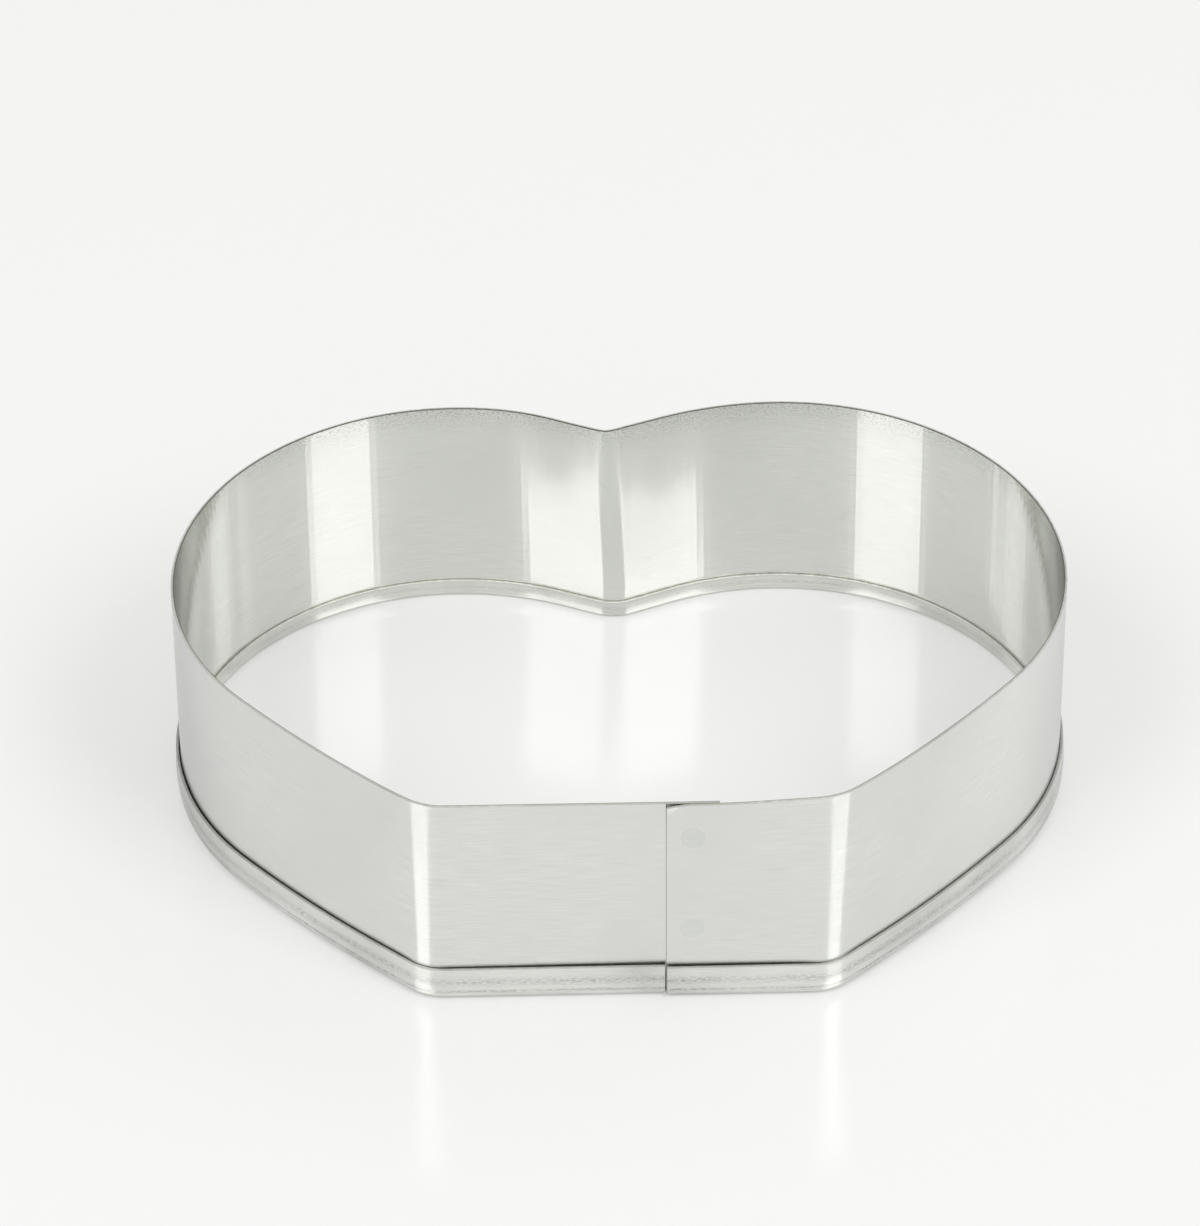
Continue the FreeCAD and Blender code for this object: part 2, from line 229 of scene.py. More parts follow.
@dataclass(frozen=True)
class Outline:
    """The blunt heart that the strip is bent to, clockwise from its inner end round to its outer end.

    Attributes:
        gauge: Thickness of the strip.
        lap_clearance: Clearance between the two layers of the lap.
        seam_x: Place of the lap's outer end.
        corner_x: Place of the right-hand end of the flat front.
        corner_bend: Radius of the front corners.
        side_bow: Radius of the bowed sides.
        lobe_lift: How far above the front the full circles of the lobes end.
        cusp_bend: Radius of the cusp.
        cusp_reach: How far to each side of the cusp its flanks are flattened.
        cusp_fill: How far the cusp itself stands back for that.
        cusp_width: How far to each side most of it fades.
    """

    gauge: float = 0.3 * MM
    lap_clearance: float = 0.02 * MM
    seam_x: float = 3.7 * MM
    corner_x: float = 18.5 * MM
    corner_bend: float = 5.07 * MM
    side_bow: float = 141.0 * MM
    lobe_lift: float = 7.74 * MM
    cusp_bend: float = 2.72 * MM
    cusp_reach: float = 14.0 * MM
    cusp_fill: float = 0.62 * MM
    cusp_width: float = 2.75 * MM

    @property
    def outer_front(self) -> float:
        """Middle of the sheet in the right half of the front."""
        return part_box("cutting_band")[0][1] + self.gauge / 2

    @property
    def inner_front(self) -> float:
        """Middle of the sheet in the left half of the front, one layer further in."""
        return self.outer_front + self.gauge + self.lap_clearance

    def lobe(self) -> tuple[Vector, float]:
        """Find the right-hand lobe.

        Returns:
            Its centre and radius.
        """
        right, back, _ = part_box("cutting_band")[1]
        lowest = self.inner_front + self.lobe_lift
        radius = (back - self.gauge / 2 - lowest) / 2
        return Vector((right - self.gauge / 2 - radius, lowest + radius)), radius

    def side_centres(self, front: float) -> tuple[Vector, Vector]:
        """Centres of the right-hand corner bend and of the bowed side that touches it and the lobe.

        Args:
            front: Middle of the sheet in the front that the corner starts from.

        Returns:
            The centres of the corner and of the side.
        """
        lobe, radius = self.lobe()
        corner = Vector((self.corner_x, front + self.corner_bend))
        to_lobe, to_corner = self.side_bow - radius, self.side_bow - self.corner_bend
        span = (corner - lobe).length
        direction = (corner - lobe) / span
        along = (to_lobe**2 - to_corner**2 + span**2) / (2 * span)
        across = math.sqrt(to_lobe**2 - along**2)
        return corner, lobe + along * direction + across * Vector((direction.y, -direction.x))

    def bends(self) -> list[Bend]:
        """Work out where the strip is bent.

        Returns:
            The seven bends, from the left corner round to the right one.
        """
        lobe, radius = self.lobe()
        cusp = Vector((0.0, lobe.y + math.sqrt((radius + self.cusp_bend) ** 2 - lobe.x**2)))
        left_corner, left_side = (mirrored(point) for point in self.side_centres(self.inner_front))
        right_corner, right_side = self.side_centres(self.outer_front)
        left_lobe = mirrored(lobe)
        down = -math.pi / 2
        stretches = (
            (left_corner, self.corner_bend, down, heading(left_side, left_corner)),
            (left_side, self.side_bow, heading(left_side, left_corner), heading(left_side, left_lobe)),
            (left_lobe, radius, heading(left_side, left_lobe), heading(left_lobe, cusp)),
            (cusp, self.cusp_bend, heading(cusp, left_lobe), heading(cusp, lobe)),
            (lobe, radius, heading(lobe, cusp), heading(right_side, lobe)),
            (right_side, self.side_bow, heading(right_side, lobe), heading(right_side, right_corner)),
            (right_corner, self.corner_bend, heading(right_side, right_corner), down),
        )
        found = []
        for centre, bend_radius, start, end in stretches:
            turn = (end - start) % (2 * math.pi)
            found.append(Bend(centre, bend_radius, start, turn if centre is cusp else turn - 2 * math.pi))
        return found

    def at_cusp(self, mesh: Mesh) -> list[MeshVertex]:
        """The vertices of a bent piece that lie at the cusp."""
        low, reach = self.lobe()[0].y, self.cusp_reach
        return [vertex for vertex in mesh.vertices if vertex.co.y > low and abs(vertex.co.x) < reach]

    def flatten_cusp(self, mesh: Mesh) -> None:
        """Flatten the flanks of the cusp, which leaves a rounder fold between them."""
        for vertex in self.at_cusp(mesh):
            vertex.co.y += self.cusp_fill * bell(vertex.co.x, self.cusp_width)

    def strip(self, first_x: float, last_x: float) -> Strip:
        """A strip that starts and ends in the front.

        Args:
            first_x: Place of the strip's inner end.
            last_x: Place of its outer end.

        Returns:
            The two runs of the front with the bends between them.
        """
        inner = Run(Vector((first_x, self.inner_front)), Vector((-self.corner_x, self.inner_front)))
        outer = Run(Vector((self.corner_x, self.outer_front)), Vector((last_x, self.outer_front)))
        return Strip((inner, *self.bends(), outer))


def measure(mesh: Mesh, strip: Strip) -> list[Station]:
    """Keep each vertex's length along the strip and its side as attributes, for finishes that follow them.

    Args:
        mesh: Mesh of a piece that was bent to the strip.
        strip: The strip.

    Returns:
        The place of each vertex on the strip.
    """
    places = [strip.locate(vertex.co.to_2d()) for vertex in mesh.vertices]
    for name in (ALONG, INSIDE):
        mesh.attributes.new(name, "FLOAT", "POINT")
    lengths, sides = mesh.attributes[ALONG].data, mesh.attributes[INSIDE].data
    for vertex, place, length, side in zip(mesh.vertices, places, lengths, sides):
        length.value = place.along
        side.value = float((vertex.co.to_2d() - place.nearest).dot(place.outward) < 0.0)
    return places


@dataclass(frozen=True)
class Graph:
    """A node tree with short calls to add and join nodes.

    Attributes:
        tree: The tree that nodes are added to.
    """

    tree: NodeTree

    def add(self, kind: str, sockets: dict[str | int, object], **settings: object) -> Node:
        """Add a node.

        Args:
            kind: Type of the node, without the word ShaderNode before it.
            sockets: Values or output sockets for its inputs.
            **settings: Values for its properties.

        Returns:
            The node.
        """
        node = self.tree.nodes.new("ShaderNode" + kind)
        for name, value in settings.items():
            setattr(node, name, value)
        self.feed(node, sockets)
        return node

    def feed(self, node: Node, sockets: dict[str | int, object]) -> None:
        """Set or link inputs of a node.

        Args:
            node: The node.
            sockets: Values or output sockets for its inputs.
        """
        for name, value in sockets.items():
            if isinstance(value, NodeSocket):
                self.tree.links.new(value, node.inputs[name])
            else:
                node.inputs[name].default_value = value

    def group(self, tree: NodeTree, output: str, **sockets: float) -> NodeSocket:
        """Add a node group with values for its inputs, and return one of its outputs."""
        return self.add("Group", sockets, node_tree=tree).outputs[output]

    def ranged(
        self, value: NodeSocket, low: float, high: float, to_low: float = 0.0, to_high: float = 1.0
    ) -> NodeSocket:
        """Map a range of values to another one, and hold the result inside it."""
        sockets = {"Value": value, "From Min": low, "From Max": high, "To Min": to_low, "To Max": to_high}
        return self.add("MapRange", sockets).outputs["Result"]

    def noise(self, low: float, high: float, **sockets: object) -> NodeSocket:
        """Noise with a range of its values mapped to 0 to 1."""
        return self.ranged(self.add("TexNoise", sockets).outputs["Fac"], low, high)

    def math(self, operation: str, first: object, second: object) -> NodeSocket:
        """Work out a value from two others, each a number or a socket."""
        return self.add("Math", {0: first, 1: second}, operation=operation).outputs["Value"]

    def mixed(self, first: object, second: object, share: NodeSocket, blend: str = "MIX") -> NodeSocket:
        """Mix a share of a second colour into a first one."""
        sockets = {"A": first, "B": second, "Factor": share}
        return self.add("Mix", sockets, data_type="RGBA", blend_type=blend).outputs["Result"]

    def attribute(self, name: str) -> NodeSocket:
        """Read a number that the mesh carries."""
        return self.add("Attribute", {}, attribute_name=name).outputs["Fac"]

    def height(self) -> NodeSocket:
        """Height above the floor."""
        place = self.add("TexCoord", {}).outputs["Object"]
        return self.add("SeparateXYZ", {"Vector": place}).outputs["Z"]


def new_group(name: str, inputs: tuple[str, ...], output: str) -> tuple[Graph, Node, Node]:
    """Start a node group of plain numbers.

    Args:
        name: Name of the group.
        inputs: Names of its inputs.
        output: Name of its output.

    Returns:
        Its graph, its input node and its output node.
    """
    tree = bpy.data.node_groups.new(name, "ShaderNodeTree")
    for label in inputs:
        tree.interface.new_socket(label, in_out="INPUT", socket_type="NodeSocketFloat")
    tree.interface.new_socket(output, in_out="OUTPUT", socket_type="NodeSocketFloat")
    return Graph(tree), tree.nodes.new("NodeGroupInput"), tree.nodes.new("NodeGroupOutput")


def strip_place(graph: Graph, stretch: object) -> NodeSocket:
    """Coordinates on the unbent strip, its length squeezed by the stretch, and its height."""
    squeezed = graph.math("DIVIDE", graph.attribute(ALONG), stretch)
    return graph.add("CombineXYZ", {"X": squeezed, "Y": graph.height()}).outputs["Vector"]


@cache
def rolled_grain() -> NodeTree:
    """The node group for grain that runs along a strip, built once.

    Returns:
        A group with the inputs Lines and Stretch and the output Grain.
    """
    graph, inputs, outputs = new_group("rolled_grain", ("Lines", "Stretch"), "Grain")
    place = strip_place(graph, inputs.outputs["Stretch"])
    lines = inputs.outputs["Lines"]
    grain = graph.noise(0.3, 0.7, Vector=place, Scale=lines, Detail=4.0, Roughness=0.6)
    graph.feed(outputs, {"Grain": grain})
    return graph.tree


@cache
def smudges() -> NodeTree:
    """The node group for the soft stains that handling leaves, built once.

    Returns:
        A group with the input Scale and the output Smudge.
    """
    graph, inputs, outputs = new_group("smudges", ("Scale",), "Smudge")
    place = graph.add("TexCoord", {}).outputs["Object"]
    scale = inputs.outputs["Scale"]
    smudge = graph.noise(0.42, 0.72, Vector=place, Scale=scale, Detail=5.0, Distortion=0.6)
    graph.feed(outputs, {"Smudge": smudge})
    return graph.tree


@cache
def scratches() -> NodeTree:
    """The node group for sparse hair scratches, built once.

    Returns:
        A group with the inputs Cells and Stretch and the output Scratch.
    """
    graph, inputs, outputs = new_group("scratches", ("Cells", "Stretch"), "Scratch")
    place = strip_place(graph, inputs.outputs["Stretch"])
    turned = graph.add("VectorRotate", {"Vector": place, "Angle": 0.2}, rotation_type="Z_AXIS")
    cells = inputs.outputs["Cells"]
    sockets = {"Vector": turned.outputs["Vector"], "Scale": cells}
    edges = graph.add("TexVoronoi", sockets, feature="DISTANCE_TO_EDGE")
    line = graph.ranged(edges.outputs["Distance"], 0.0, 0.02, 1.0, 0.0)
    gaps = graph.noise(0.5, 0.65, Vector=place, Scale=cells, Detail=2.0)
    graph.feed(outputs, {"Scratch": graph.math("MULTIPLY", line, gaps)})
    return graph.tree


@dataclass(frozen=True)
class SteelFinish:
    """A finish of the steel.

    Attributes:
        name: Name of the material.
        colour: Base colour, linear.
        roughness: Middle roughness of the inner side.
        outer_roughness: How much rougher the outer side is.
        anisotropy: How much more the grain spreads reflections up and down than sideways.
        lines: Lines of the grain per metre across it.
        stretch: Length of the lines over their width.
        contrast: How much the grain changes the colour.
        wear_and_shade: How dark the stains and marks are, including the painted shade that the edging's
            marks carry.
        relief: Strength of the grain's relief.
        inner_painted_shading: Colour that the inner side is multiplied by: painted shade where below 1,
            with a slight warm tint on the sheet, and painted light where above 1.
        haze: Roughness of the coarser half of the finest grain, which veils reflections.
        mark_shade: Shade of the darkest marks.
    """

    name: str
    colour: Colour
    roughness: float
    outer_roughness: float = 1.5
    anisotropy: float = 0.75
    lines: float = 7000.0
    stretch: float = 26.0
    contrast: float = 0.07
    wear_and_shade: float = 0.1
    relief: float = 0.02
    inner_painted_shading: Colour = (0.93, 0.935, 0.915)
    haze: float = 0.0
    mark_shade: float = 0.35

    def shade(self, factor: float) -> tuple[float, float, float, float]:
        """The base colour made darker or paler by a factor, with an alpha of 1."""
        return (*(min(1.0, channel * factor) for channel in self.colour), 1.0)

    def marks(self, graph: Graph) -> NodeSocket:
        """A mask of the scratches, 1 where they are darkest."""
        return graph.group(scratches(), "Scratch", Cells=600.0, Stretch=6.0)

    def material(self) -> Material:
        """Build the finish.

        Returns:
            A node material.
        """
        material = bpy.data.materials.new(self.name)
        material.use_nodes = True
        graph = Graph(material.node_tree)
        shader = material.node_tree.nodes["Principled BSDF"]
        grain = graph.group(rolled_grain(), "Grain", Lines=self.lines, Stretch=self.stretch)
        smudge = graph.group(smudges(), "Smudge", Scale=55.0)
        marks = self.marks(graph)
        tint = graph.mixed(self.shade(1.0 - self.contrast), self.shade(1.0 + self.contrast), grain)
        stained = graph.mixed(tint, self.shade(1.0 - self.wear_and_shade / 3), smudge)
        # Marks darken the colour: scratches here, and in the edging roll marks with painted shade
        worn_and_shaded = graph.mixed(stained, self.shade(self.mark_shade), graph.math("MULTIPLY", marks, self.wear_and_shade))
        height = graph.math("SUBTRACT", grain, marks)
        relief = {"Height": height, "Strength": self.relief, "Distance": 0.02 * MM}
        across = graph.add("CombineXYZ", {"Z": 1.0})
        inside = graph.attribute(INSIDE)
        uneven = graph.ranged(smudge, 0.0, 1.0, self.roughness * 0.9, self.roughness * 1.3)
        rougher = graph.ranged(inside, 0.0, 1.0, self.outer_roughness, 1.0)
        finest = graph.group(rolled_grain(), "Grain", Lines=60000.0, Stretch=4.0)
        veiled = graph.ranged(finest, 0.5, 0.6, 0.0, self.haze)
        sockets = {
            "Metallic": 1.0,
            "Specular Tint": (0.85, 0.85, 0.85, 1.0),
            "Anisotropic": self.anisotropy,
            # Painted shade on the inner side, or painted light where the factor is above 1, multiplied into
            # the colour
            "Base Color": graph.mixed(worn_and_shaded, (*self.inner_painted_shading, 1.0), inside, "MULTIPLY"),
            "Roughness": graph.math("MAXIMUM", graph.math("MULTIPLY", uneven, rougher), veiled),
            "Normal": graph.add("Bump", relief).outputs["Normal"],
            "Tangent": across.outputs["Vector"],
        }
        graph.feed(shader, sockets)
        return material


@dataclass(frozen=True)
class DullEdge(SteelFinish):
    """The torn, dull finish of an edge that was cut, with fine short grain and no direction."""

    outer_roughness: float = 1.0
    anisotropy: float = 0.0
    lines: float = 9000.0
    stretch: float = 6.0
    contrast: float = 0.2


@dataclass(frozen=True)
class StripFinish(SteelFinish):
    """The finish of the strip, whose inner face has darker speckles that grow towards the cutting edge.

    Attributes:
        edge_height: Height of the cutting edge.
        dark_speck_depth: How far down from the cutting edge the darker speckles reach.
    """

    edge_height: float = 25.0 * MM
    dark_speck_depth: float = 4.5 * MM

    def marks(self, graph: Graph) -> NodeSocket:
        """Where the surface is scratched, or darker with speckles near the cutting edge.

        Args:
            graph: Graph that the nodes go into.

        Returns:
            A mask, above 1 where the speckles are darker than a scratch.
        """
        specks = graph.group(rolled_grain(), "Grain", Lines=5200.0, Stretch=1.6)
        near = graph.ranged(graph.height(), self.edge_height - self.dark_speck_depth, self.edge_height)
        fade = graph.math("MULTIPLY", graph.math("POWER", near, 2.0), graph.attribute(INSIDE))
        dark_specks = graph.math("MULTIPLY", fade, graph.ranged(specks, 0.4, 0.8, 0.0, 6.0))
        return graph.math("MAXIMUM", super().marks(graph), dark_specks)


@dataclass(frozen=True)
class RollMarkAndShade:
    """A speckled dark line at a crease of the edging, partly a mark that a forming roll left and partly
    painted shade along the crease.

    Attributes:
        level: Height of the line.
        reach: How far it fades up and down.
        amount: How dark it is.
    """

    level: float
    reach: float
    amount: float


@dataclass(frozen=True)
class EdgingFinish(SteelFinish):
    """The finish of the edging, with streaks where the forming rolls pressed it, and painted shade in its
    creases and towards the floor.

    Attributes:
        roll: Line that a roll's edge left on the outer leg, where the leg's face breaks, with painted
            crease shade.
        fold: Line where the outer leg was folded, with painted crease shade.
        streak_and_shade_fade: How far the streaks and painted shade below the fold fade in.
    """

    roll: RollMarkAndShade = RollMarkAndShade(2.45 * MM, 0.75 * MM, 0.9)
    fold: RollMarkAndShade = RollMarkAndShade(1.17 * MM, 0.3 * MM, 1.2)
    streak_and_shade_fade: float = 0.2 * MM

    def marks(self, graph: Graph) -> NodeSocket:
        """Where the rolls have marked the surface, with painted shade along the creases and below the fold.

        Args:
            graph: Graph that the nodes go into.

        Returns:
            A mask, 1 where the mark is darkest.
        """
        streaks = graph.group(rolled_grain(), "Grain", Lines=4500.0, Stretch=40.0)
        specks = graph.group(rolled_grain(), "Grain", Lines=8000.0, Stretch=4.0)
        uneven = graph.ranged(graph.group(smudges(), "Smudge", Scale=90.0), 0.0, 1.0, 0.75, 1.5)
        height = graph.height()
        # Streaks grow darker below the fold: partly roll streaks, partly painted shade of the nose near the
        # floor
        low = graph.ranged(height, self.fold.level, self.fold.level - self.streak_and_shade_fade, 0.15, 0.5)
        outer = graph.ranged(graph.attribute(INSIDE), 0.0, 1.0, 1.0, 0.4)
        found = graph.math("MULTIPLY", low, graph.ranged(streaks, 0.35, 0.85))
        # Speckled dark lines at the creases: roll marks and painted crease shade
        for mark in (self.roll, self.fold):
            away = graph.math("ABSOLUTE", graph.math("SUBTRACT", height, mark.level), 0.0)
            line = graph.ranged(away, mark.reach, 0.0, 0.0, mark.amount)
            speckled = graph.math("MULTIPLY", line, graph.ranged(specks, 0.3, 0.7))
            found = graph.math("MAXIMUM", found, speckled)
        return graph.math("MULTIPLY", graph.math("MULTIPLY", found, uneven), outer)


class Sheet:
    """A piece of sheet that is being shaped in edit mode."""

    def __init__(self, name: str, low: Vector, high: Vector, finishes: tuple[SteelFinish, ...]) -> None:
        """Add a flat upright sheet facing the front.

        Args:
            name: Name of the piece.
            low: Its lower left corner.
            high: Its upper right corner.
            finishes: Finishes of its faces, its cut edges and the burr on them.
        """
        bpy.ops.object.select_all(action="DESELECT")
        middle, size = (low + high) / 2, high - low
        bpy.ops.mesh.primitive_plane_add(size=1.0, location=middle, rotation=(math.pi / 2, 0.0, 0.0))
        self.piece = bpy.context.object
        self.piece.name = self.piece.data.name = name
        self.piece.scale = (size.x, size.z, 1.0)
        bpy.ops.object.transform_apply()
        for finish in finishes:
            self.piece.data.materials.append(finish.material())
        bpy.ops.object.mode_set(mode="EDIT")
        bpy.ops.mesh.select_mode(type="EDGE")

    def divide(self, *heights: float) -> None:
        """Cut the sheet level.

        Args:
            *heights: Heights of the cuts.
        """
        for height in heights:
            bpy.ops.mesh.select_all(action="SELECT")
            bpy.ops.mesh.bisect(plane_co=(0.0, 0.0, height), plane_no=UPRIGHT)

    def select_edges(self, low: Vector, high: Vector) -> None:
        """Select the edges that lie inside a box.

        Args:
            low: Lowest corner of the box.
            high: Highest corner of the box.
        """
        bpy.ops.mesh.select_all(action="DESELECT")
        shape = bmesh.from_edit_mesh(self.piece.data)
        for edge in shape.edges:
            past = [max(low[i] - end.co[i], end.co[i] - high[i]) for end in edge.verts for i in range(3)]
            edge.select_set(max(past) <= TOUCHING)
        bmesh.update_edit_mesh(self.piece.data)

    def draw_out(self, *offsets: Vector) -> None:
        """Extrude the selected edges by one offset after another."""
        for offset in offsets:
            bpy.ops.mesh.extrude_region_move(TRANSFORM_OT_translate={"value": offset})

    def fold(self, centre: Vector, axis: Vector, turn: float, steps: int) -> None:
        """Carry the selected edges round an axis through the centre, anticlockwise, in some steps."""
        bpy.ops.mesh.spin(steps=steps, angle=-turn, center=centre, axis=axis)

    def bend_round(self, outline: Outline) -> None:
        """Carry the selected edges round the outline, from the left corner to the right one."""
        for bend in outline.bends():
            self.fold(bend.centre.to_3d(), Vector(UPRIGHT), bend.turn, bend.steps)

    def modify(self, kind: str, **settings: object) -> None:
        """Apply a modifier to the mesh.

        Args:
            kind: Type of the modifier.
            **settings: Values for its properties.
        """
        modifier = self.piece.modifiers.new(kind, kind)
        for name, value in settings.items():
            setattr(modifier, name, value)
        bpy.ops.object.modifier_apply(modifier=modifier.name)

    def close(self, gauge: float) -> None:
        """Merge what meets, leave edit mode, and give the sheet its thickness and the cut edges their burr.

        Args:
            gauge: The thickness, half to each side.
        """
        bpy.ops.mesh.select_all(action="SELECT")
        bpy.ops.mesh.remove_doubles(threshold=TOUCHING)
        bpy.ops.mesh.normals_make_consistent()
        bpy.ops.object.mode_set(mode="OBJECT")
        self.modify("SOLIDIFY", thickness=gauge, offset=0.0, use_even_offset=True, material_offset_rim=1)
        limits = {"limit_method": "ANGLE", "angle_limit": BURR_ANGLE}
        self.modify("BEVEL", width=BURR_WIDTH, segments=3, material=2, **limits)

    def pierce(self, hole: Object) -> None:
        """Cut a hole.

        Args:
            hole: Object in the shape of the hole, which is used up.
        """
        bpy.context.view_layer.objects.active = self.piece
        self.modify("BOOLEAN", operation="DIFFERENCE", object=hole)
        bpy.data.objects.remove(hole)

    def finish(self) -> Object:
        """Turn the faces outwards and smooth the bends, with sharp edges where the sheet was cut.

        Returns:
            The finished piece.
        """
        bpy.ops.object.mode_set(mode="EDIT")
        bpy.ops.mesh.select_all(action="SELECT")
        bpy.ops.mesh.normals_make_consistent()
        bpy.ops.object.mode_set(mode="OBJECT")
        bpy.ops.object.shade_smooth_by_angle(angle=SMOOTH_ANGLE)
        return self.piece


@dataclass
class CuttingBand:
    """The strip with the cutting edge, lapped on itself in the front.

    Attributes:
        outline: Outline that it is bent to.
        bottom: Height of its lower edge.
        top: Height of the cutting edge.
        welds: The spot welds in its lap.
        finishes: Finishes of its faces, its cut edges and the burr on them.
        lap_length: Length of the tongue behind the outer end.
        tongue_bottom: Height of the tongue's lower edge, above the edging's inner leg.
        lift: How far the outer end's upper corner stands off.
        lift_reach: Size of the lifted corner along and down the strip.
        divisions: Divisions of the lifted corner down and along the strip, and of the front beside it.
        upright: Height up to which the edging holds the strip upright.
        levels: Heights of the divisions between there and the lifted corner.
        cusp_set: How far the cusp leans to the left at the cutting edge.
        cusp_pinch: How far the cusp stands forward at the cutting edge.
        pinch_width: How far to each side most of it fades.
        corner_set: How far the right-hand corner leans to the right and back at the cutting edge.
        corner_lean: How far before and past that corner its lean fades.
        corner_press: How far the edging presses both corners out.
        corner_spring: How far they spring in from there to the cutting edge.
        corner_width: How far to each side most of that fades.
    """

    outline: Outline
    bottom: float
    top: float
    welds: tuple["SpotWeld", ...]
    finishes: tuple[SteelFinish, ...]
    lap_length: float = 5.3 * MM
    tongue_bottom: float = 2.25 * MM
    lift: float = 0.55 * MM
    lift_reach: float = 3.2 * MM
    divisions: tuple[int, int, int] = (10, 12, 10)
    upright: float = 4.5 * MM
    levels: tuple[float, ...] = (9.5 * MM, 14.5 * MM)
    cusp_set: float = 0.8 * MM
    cusp_pinch: float = 0.165 * MM
    pinch_width: float = 0.7 * MM
    corner_set: Vector = field(default_factory=lambda: Vector((0.56, 0.6)) * MM)
    corner_lean: tuple[float, float] = (18.0 * MM, 12.0 * MM)
    corner_press: float = 0.12 * MM
    corner_spring: float = 0.29 * MM
    corner_width: float = 2.4 * MM

    def build(self) -> Object:
        """Bend the strip, put the welds' holes in its lap and spring it to its real set.

        Returns:
            The finished band.
        """
        outline = self.outline
        left, seam, front = -outline.corner_x, outline.seam_x, outline.inner_front
        low, high = Vector((left, front, self.bottom)), Vector((seam, front, self.top))
        sheet = Sheet("cutting_band_sheet", low, high, self.finishes)
        rows, columns, front_columns = self.divisions
        lifted = [self.top - self.lift_reach * row / rows for row in range(1, rows + 1)]
        sheet.divide(self.tongue_bottom, self.upright, *self.levels, *lifted)
        sheet.select_edges(Vector((seam, front, self.tongue_bottom)), high)
        sheet.draw_out(Vector((self.lap_length, 0.0, 0.0)))
        sheet.select_edges(low, Vector((left, front, self.top)))
        sheet.bend_round(outline)
        to_lift = outline.corner_x - seam - self.lift_reach
        for length, parts in ((to_lift, front_columns), (self.lift_reach, columns)):
            sheet.draw_out(*[Vector((-length / parts, 0.0, 0.0))] * parts)
        sheet.close(outline.gauge)
        for weld in self.welds:
            sheet.pierce(weld.plug())
        mesh, strip = sheet.piece.data, outline.strip(seam + self.lap_length, seam)
        self.set_corners(mesh, strip, measure(mesh, strip))
        self.raise_corner(mesh)
        outline.flatten_cusp(mesh)
        self.lean_cusp(mesh)
        return sheet.finish()

    def rise(self, height: float) -> float:
        """Share of the way from the edging up to the cutting edge."""
        return max((height - self.upright) / (self.top - self.upright), 0.0)

    def set_corners(self, mesh: Mesh, strip: Strip, places: list[Station]) -> None:
        """Bend the corners sharper at the edging than at the cutting edge, and let the right-hand one lean.

        Args:
            mesh: Mesh of the band.
            strip: Strip that it was bent to.
            places: Place of each vertex on the strip.
        """
        lengths = [stretch.length for stretch in strip.stretches]
        left = lengths[0] + lengths[1] / 2
        right = sum(lengths[:-1]) - lengths[-2] / 2
        before, after = self.corner_lean
        for vertex, place in zip(mesh.vertices, places):
            rise = self.rise(vertex.co.z)
            for middle in (left, right):
                near = bell(place.along - middle, self.corner_width)
                inward = near * (self.corner_spring * rise - self.corner_press)
                vertex.co -= (place.outward * inward).to_3d()
            past = place.along - right
            share = max(1.0 - (past / after if past > 0.0 else -past / before), 0.0)
            vertex.co += (self.corner_set * rise * share * share * (3.0 - 2.0 * share)).to_3d()

    def raise_corner(self, mesh: Mesh) -> None:
        """Spring the upper corner of the outer end off the lap.

        Args:
            mesh: Mesh of the band.
        """
        split = (self.outline.outer_front + self.outline.inner_front) / 2
        for vertex in mesh.vertices:
            past = 1.0 - (vertex.co.x - self.outline.seam_x) / self.lift_reach
            rise = 1.0 - (self.top - vertex.co.z) / self.lift_reach
            if vertex.co.y < split and 0.0 < past <= 1.001 and rise > 0.0:
                vertex.co.y -= self.lift * past**2 * rise**2

    def lean_cusp(self, mesh: Mesh) -> None:
        """Fold the cusp sharper towards the cutting edge, and let it lean to the left.

        Args:
            mesh: Mesh of the band.
        """
        for vertex in self.outline.at_cusp(mesh):
            rise = self.rise(vertex.co.z)
            vertex.co.y -= self.cusp_pinch * rise**2 * bell(vertex.co.x, self.pinch_width)
            lean = (1.0 - (vertex.co.x / self.outline.cusp_reach) ** 2) ** 2
            vertex.co.x -= rise * lean * self.cusp_set


